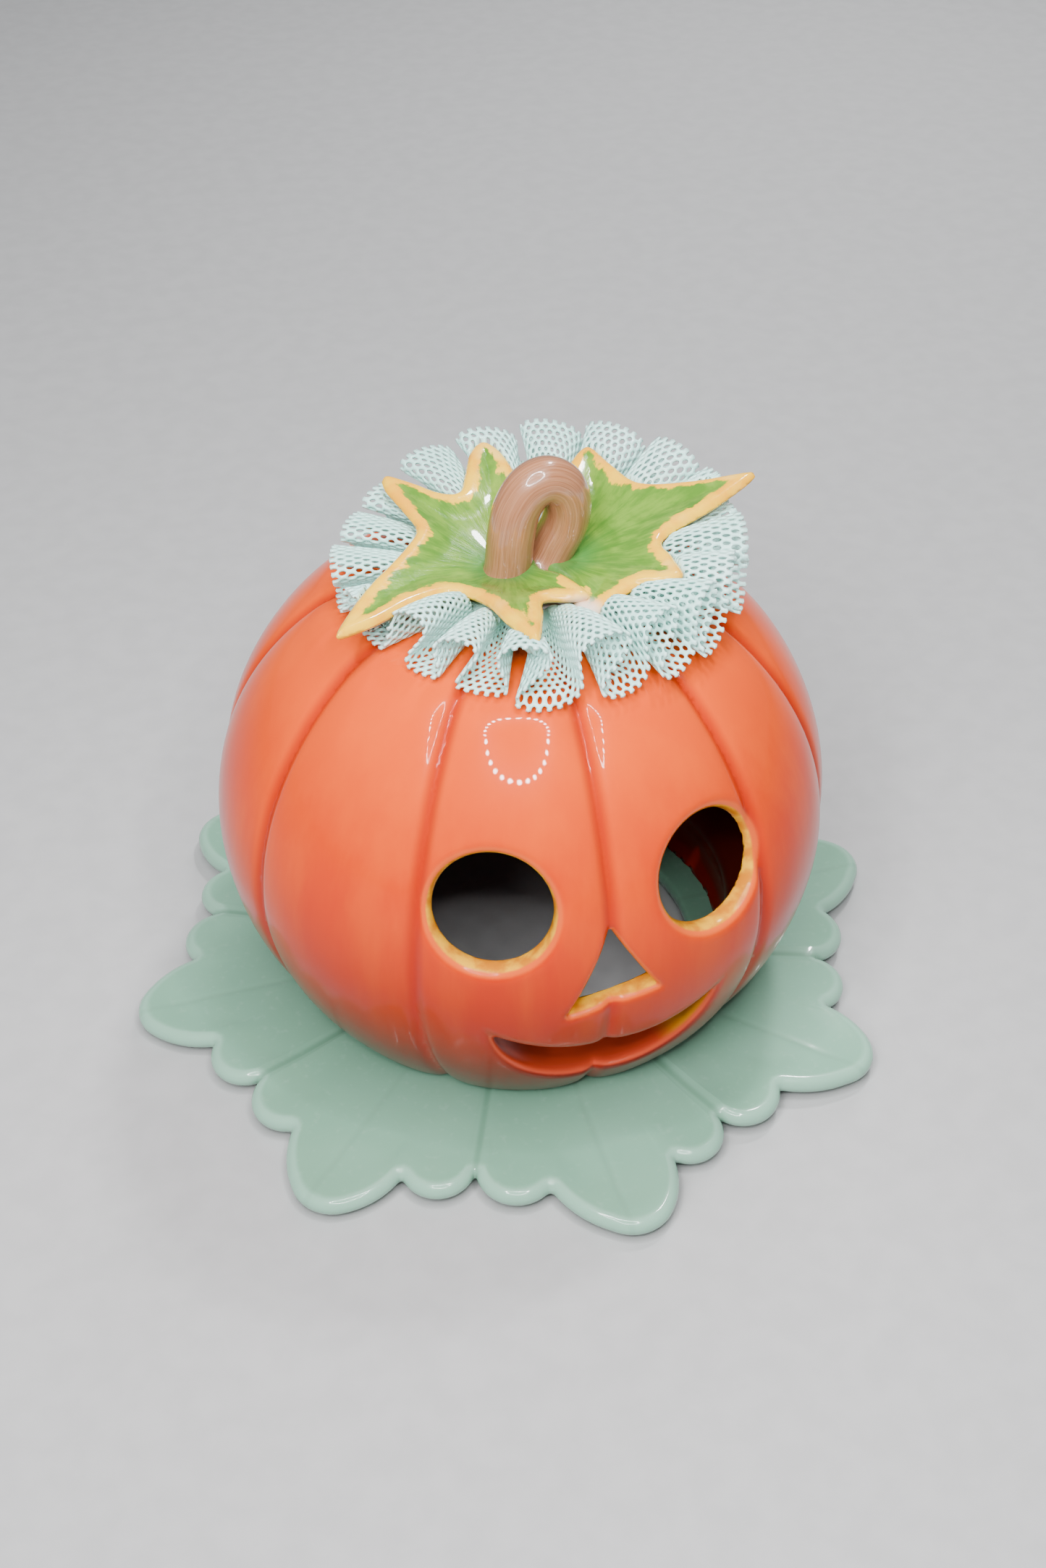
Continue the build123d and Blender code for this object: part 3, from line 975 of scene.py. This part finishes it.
class Nodes:
    """A short way to build one node material."""

    def __init__(self, name):
        self.material = bpy.data.materials.new(name)
        self.material.use_nodes = True
        self.tree = self.material.node_tree
        self.shader = self.tree.nodes["Principled BSDF"]

    def link(self, source, target):
        self.tree.links.new(source, target)

    def new(self, kind, **settings):
        node = self.tree.nodes.new(kind)
        for key, value in settings.items():
            setattr(node, key, value)
        return node

    def attribute(self, name):
        return self.new("ShaderNodeAttribute", attribute_name=name).outputs["Fac"]

    def place(self):
        return self.new("ShaderNodeTexCoord").outputs["Object"]

    def noise(self, scale, detail=3.0, roughness=0.5, vector=None, stretch=None):
        node = self.new("ShaderNodeTexNoise")
        node.inputs["Scale"].default_value = scale
        node.inputs["Detail"].default_value = detail
        node.inputs["Roughness"].default_value = roughness
        source = vector if vector is not None else self.place()
        if stretch is not None:
            mapping = self.new("ShaderNodeMapping")
            mapping.inputs["Scale"].default_value = stretch
            self.link(source, mapping.inputs["Vector"])
            source = mapping.outputs["Vector"]
        self.link(source, node.inputs["Vector"])
        return node.outputs["Fac"]

    def math(self, kind, a, b):
        node = self.new("ShaderNodeMath", operation=kind)
        for index, value in enumerate((a, b)):
            if isinstance(value, (int, float)):
                node.inputs[index].default_value = value
            else:
                self.link(value, node.inputs[index])
        return node.outputs[0]

    def ramp(self, value, low, high, start=0.0, end=1.0):
        """value from low to high becomes start to end, smoothly and no further."""
        node = self.new("ShaderNodeMapRange", interpolation_type="SMOOTHSTEP")
        self.link(value, node.inputs["Value"])
        for key, number in (("From Min", low), ("From Max", high), ("To Min", start), ("To Max", end)):
            node.inputs[key].default_value = number
        return node.outputs["Result"]

    def mix(self, factor, first, second):
        node = self.new("ShaderNodeMix", data_type="RGBA")
        self.link(factor, node.inputs[0])
        for socket, value in ((node.inputs[6], first), (node.inputs[7], second)):
            if isinstance(value, tuple):
                socket.default_value = (*value, 1.0)
            else:
                self.link(value, socket)
        return node.outputs[2]

    def bump(self, height, strength, distance):
        node = self.new("ShaderNodeBump")
        node.inputs["Strength"].default_value = strength
        node.inputs["Distance"].default_value = distance
        self.link(height, node.inputs["Height"])
        self.link(node.outputs["Normal"], self.shader.inputs["Normal"])

    def gloss(self, roughness, coat=0.0, coat_roughness=0.03, coat_ior=1.5, specular=0.5):
        self.shader.inputs["Roughness"].default_value = roughness
        self.shader.inputs["Coat Weight"].default_value = coat
        self.shader.inputs["Coat Roughness"].default_value = coat_roughness
        self.shader.inputs["Coat IOR"].default_value = coat_ior
        self.shader.inputs["Specular IOR Level"].default_value = specular

    def colour(self, source):
        self.link(source, self.shader.inputs["Base Color"])


def orange_glaze():
    m = Nodes("orange_glaze")
    brushed = m.noise(70.0, 4.0, 0.6, stretch=(1.0, 1.0, 0.15))
    cloudy = m.noise(16.0, 3.0)
    base = m.mix(m.ramp(cloudy, 0.3, 0.7), *ORANGE)
    base = m.mix(m.ramp(brushed, 0.35, 0.70, 0.0, 0.60), base, ORANGE_BRUSHED)
    place = m.new("ShaderNodeSeparateXYZ")
    m.link(m.place(), place.inputs[0])
    # Painted light: the glaze is made lighter towards the top
    base = m.mix(m.ramp(place.outputs["Z"], 0.075, 0.110, 0.0, 0.55), base, ORANGE_PAINTED_TOP_LIGHT)
    # Painted shade: the glaze is made much darker towards the bottom
    base = m.mix(m.ramp(place.outputs["Z"], 0.018, 0.080, 0.96, 0.0), base, ORANGE_PAINTED_LOW_SHADE)
    base = m.mix(m.ramp(m.attribute("groove"), 0.2, 2.8, 0.75, 0.0), base, ORANGE_GROOVE)
    # The rims are thinly glazed, and the cut walls are painted
    depth = m.attribute("depth")
    eye = m.attribute("eye")
    mouth = m.attribute("mouth")
    thin = m.math("MULTIPLY", m.ramp(depth, 0.15, 0.55), m.ramp(eye, 3.0, 1.0, 0.0, 0.50))
    base = m.mix(thin, base, ORANGE_EYE_RIM)
    thin = m.math("MULTIPLY", m.ramp(depth, 0.3, 0.9), m.ramp(mouth, 3.0, 1.0, 0.0, 0.5))
    base = m.mix(thin, base, ORANGE_MOUTH_RIM)
    patchy = m.noise(240.0, 3.0)
    yellow = m.mix(m.ramp(patchy, 0.35, 0.65), *EYE_YELLOW)
    painted = m.math("MULTIPLY", m.ramp(depth, 0.95, 1.6), m.ramp(eye, 1.9, 0.7))
    base = m.mix(painted, base, yellow)
    lip = m.math("MULTIPLY", m.ramp(depth, 1.0, 2.2), m.ramp(mouth, 2.2, 0.8))
    corner = m.ramp(place.outputs["X"], 0.017, 0.024)
    base = m.mix(lip, base, m.mix(corner, LIP_RED, LIP_YELLOW))
    # Painted shade: the inside of the shell is darkened
    inside = m.math("MULTIPLY", m.ramp(m.attribute("hollow"), 0.55, 0.15), m.ramp(depth, 3.0, 4.2))
    base = m.mix(inside, base, SHELL_INSIDE_PAINTED_SHADE)
    m.colour(base)
    m.gloss(0.28, 0.52, 0.03, 1.36, 0.05)
    speck = m.noise(420.0, 2.0)
    wave = m.noise(38.0, 2.0)
    m.bump(m.math("ADD", wave, m.math("MULTIPLY", speck, 0.08)), 0.24, 0.0006)
    return m.material


def mint_glaze():
    m = Nodes("mint_glaze")
    cloudy = m.noise(22.0, 3.0)
    base = m.mix(m.ramp(cloudy, 0.3, 0.7), *MINT)
    speck = m.noise(500.0, 2.0)
    base = m.mix(m.ramp(speck, 0.55, 0.8, 0.0, 0.30), base, MINT_SPECK)
    base = m.mix(m.ramp(m.attribute("edge"), 0.2, 2.2, 0.55, 0.0), base, MINT_RIM)
    base = m.mix(m.ramp(m.attribute("seam"), 0.2, 1.3, 0.55, 0.0), base, MINT_SEAM)
    base = m.mix(m.ramp(m.attribute("vein"), 0.2, 1.2, 0.18, 0.0), base, MINT_VEIN)
    m.colour(base)
    m.gloss(0.27, 0.7, 0.07, specular=0.15)
    wave = m.noise(45.0, 2.0)
    m.bump(m.math("ADD", wave, m.math("MULTIPLY", speck, 0.08)), 0.2, 0.0005)
    return m.material


def net_glaze():
    m = Nodes("net_glaze")
    base = m.mix(m.ramp(m.noise(60.0, 3.0), 0.3, 0.7), *NET)
    base = m.mix(m.ramp(m.attribute("across"), 0.1, 0.7, 0.6, 0.0), base, NET_GATHER)
    base = m.mix(m.ramp(m.attribute("across"), 0.94, 1.0, 0.0, 0.5), base, NET_EDGE)
    m.colour(base)
    m.gloss(0.34, 0.45, 0.15)
    m.bump(m.noise(900.0, 3.0), 0.5, 0.0003)
    return m.material


def leaf_paint():
    m = Nodes("leaf_paint")
    away = m.attribute("away")
    wander = m.noise(95.0, 4.0, 0.65)
    fine = m.noise(420.0, 3.0)
    pool = m.noise(75.0, 4.0, 0.6)
    # The brush strokes run out from the leaf's foot
    ray = m.new("ShaderNodeCombineXYZ")
    m.link(m.attribute("ray_x"), ray.inputs[0])
    m.link(m.attribute("ray_y"), ray.inputs[1])
    m.link(m.math("MULTIPLY", away, 0.012), ray.inputs[2])
    strokes = m.noise(11.0, 4.0, 0.6, ray.outputs[0])
    # How far in the green is, with a ragged edge, and no border near the foot
    border = m.math("ADD", m.attribute("edge"), m.ramp(away, 17.0, 10.0, 0.0, 8.0))
    for noise, reach in ((wander, -7.0), (strokes, -5.0), (fine, -1.2)):
        border = m.math("ADD", border, m.math("MULTIPLY", m.math("SUBTRACT", noise, 0.5), reach))
    green = m.mix(m.ramp(strokes, 0.35, 0.65), *GREEN)
    green = m.mix(m.ramp(pool, 0.48, 0.70, 0.0, 0.65), green, GREEN_POOL)
    green = m.mix(m.ramp(pool, 0.44, 0.30, 0.0, 0.55), green, GREEN_DARK)
    green = m.mix(m.ramp(away, 5.0, 12.0, 0.65, 0.0), green, GREEN_FOOT)
    yellow = m.mix(m.ramp(wander, 0.35, 0.65), *YELLOW)
    yellow = m.mix(m.ramp(m.noise(70.0, 2.0), 0.55, 0.75, 0.0, 0.60), yellow, CREAM)
    base = m.mix(m.ramp(border, 3.1, 3.9), yellow, green)
    base = m.mix(m.ramp(m.attribute("under"), 1.9, 3.0), base, LEAF_UNDER)
    from_tip = m.new("ShaderNodeVectorMath", operation="DISTANCE")
    m.link(m.place(), from_tip.inputs[0])
    from_tip.inputs[1].default_value = PALE_TIP
    base = m.mix(m.ramp(from_tip.outputs["Value"], 0.0035, 0.0075, 0.9, 0.0), base, BARE_TIP)
    m.colour(base)
    m.gloss(0.22, 0.60, 0.045, specular=0.15)
    m.bump(m.math("ADD", m.math("MULTIPLY", strokes, 0.8), pool), 0.3, 0.0007)
    return m.material


def stalk_paint():
    m = Nodes("stalk_paint")
    merge = m.new("ShaderNodeCombineXYZ")
    m.link(m.attribute("turn_x"), merge.inputs[0])
    m.link(m.attribute("turn_y"), merge.inputs[1])
    m.link(m.attribute("run"), merge.inputs[2])
    streaks = m.noise(5.0, 5.0, 0.65, merge.outputs[0], (1.6, 1.6, 0.7))
    fine = m.noise(18.0, 4.0, 0.6, merge.outputs[0], (1.5, 1.5, 0.30))
    base = m.mix(m.ramp(streaks, 0.32, 0.68), *STALK)
    base = m.mix(m.ramp(fine, 0.5, 0.70, 0.0, 0.40), base, STALK_LIGHT)
    base = m.mix(m.ramp(fine, 0.47, 0.33, 0.0, 0.35), base, STALK_DARK)
    m.colour(base)
    m.gloss(0.25, 0.8, 0.06)
    m.bump(m.math("ADD", m.math("MULTIPLY", streaks, 0.6), m.math("MULTIPLY", fine, 0.5)), 0.2, 0.0005)
    return m.material


def joining_clay():
    m = Nodes("joining_clay")
    m.colour(m.mix(m.ramp(m.noise(90.0, 3.0), 0.4, 0.6), *CLAY))
    m.gloss(0.25, 0.8, 0.06)
    m.bump(m.noise(200.0, 3.0), 0.3, 0.0006)
    return m.material


def floor_finish():
    m = Nodes("floor_finish")
    grain = m.noise(120.0, 3.0)
    m.colour(m.mix(m.ramp(grain, 0.3, 0.7), *FLOOR))
    m.gloss(0.6)
    m.bump(grain, 0.1, 0.0003)
    return m.material


def finish(piece, material, body, node):
    piece.data.materials.append(material)
    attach(piece, body)
    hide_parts(node)


# ---- Making the pieces ----
finish(add_pumpkin(), orange_glaze(), "pumpkin", "pumpkin_shell")
finish(add_plate(), mint_glaze(), "plate", "leaf_plate")
leaf_finish = leaf_paint()
for name, node, *shape in PAINTED_LEAVES:
    finish(add_leaf(name, *shape), leaf_finish, "pumpkin", node)
finish(add_stem(), stalk_paint(), "pumpkin", "stem_loop")
finish(add_pad(), joining_clay(), "pumpkin", "crown_pad")
ruffle = add_ruffle()
finish(ruffle, net_glaze(), "pumpkin", "lace_ruffle")


# ---- Stage, in metres and degrees ----
FLOOR_HALF = 8.0
WORLD_COLOUR = (0.92, 0.95, 1.0, 1.0)
WORLD_STRENGTH = 0.30
# Each light's name, place, aim, size and power, and whether the glazes mirror it
LIGHTS = (
    ("key", (-0.50, -0.52, 0.70), (0, 0, 0.07), 0.50, 7.2, False),
    ("rear", (0.45, 0.75, 0.60), (0, 0, 0.05), 0.50, 5.0, False),
    ("overhead", (0.35, 0.30, 0.85), (0, 0, 0.05), 0.10, 4.2, True),
)
RING_LAMPS = 28
RING_RADIUS = 0.105
RING_STRETCH = 1.3
RING_BEARING = -16.0
RING_LIFT = 62.0
RING_AIM = (0.0, 0.0, 0.07)
RING_DISTANCE = 0.40
RING_LAMP_SIZE = 0.013
RING_POWER = 3.1


def add_floor():
    mesh = bpy.data.meshes.new("floor")
    corners = [(x * FLOOR_HALF, y * FLOOR_HALF, 0) for x, y in ((-1, -1), (1, -1), (1, 1), (-1, 1))]
    mesh.from_pydata(corners, [], [(0, 1, 2, 3)])
    floor = bpy.data.objects.new("floor", mesh)
    bpy.context.scene.collection.objects.link(floor)
    mesh.materials.append(floor_finish())


def add_light(name, place, aim, size, power, mirrored):
    data = bpy.data.lights.new(name, "AREA")
    data.shape = "DISK"
    data.size = size
    data.energy = power
    light = bpy.data.objects.new(name, data)
    light.location = place
    light.visible_glossy = mirrored
    light.rotation_euler = (Vector(aim) - Vector(place)).to_track_quat("-Z", "Y").to_euler()
    bpy.context.scene.collection.objects.link(light)


def add_ring_lamp():
    """Small lamps in an oval, as on a ring lamp over the camera. They face the pumpkin."""
    turn, up = radians(RING_BEARING), radians(RING_LIFT)
    away = Vector((sin(turn) * cos(up), -cos(turn) * cos(up), sin(up)))
    middle = Vector(RING_AIM) + away * RING_DISTANCE
    side = away.cross(Vector((0.0, 0.0, 1.0))).normalized()
    over = side.cross(away)
    for index in range(RING_LAMPS):
        angle = 2 * pi * index / RING_LAMPS
        place = middle + RING_RADIUS * (cos(angle) * side + RING_STRETCH * sin(angle) * over)
        add_light(f"ring_{index:02d}", place, RING_AIM, RING_LAMP_SIZE, RING_POWER / RING_LAMPS, True)


def add_world():
    world = bpy.data.worlds.new("studio")
    world.use_nodes = True
    background = world.node_tree.nodes["Background"]
    background.inputs["Color"].default_value = WORLD_COLOUR
    background.inputs["Strength"].default_value = WORLD_STRENGTH
    bpy.context.scene.world = world


add_floor()
for light in LIGHTS:
    add_light(*light)
add_ring_lamp()
add_world()
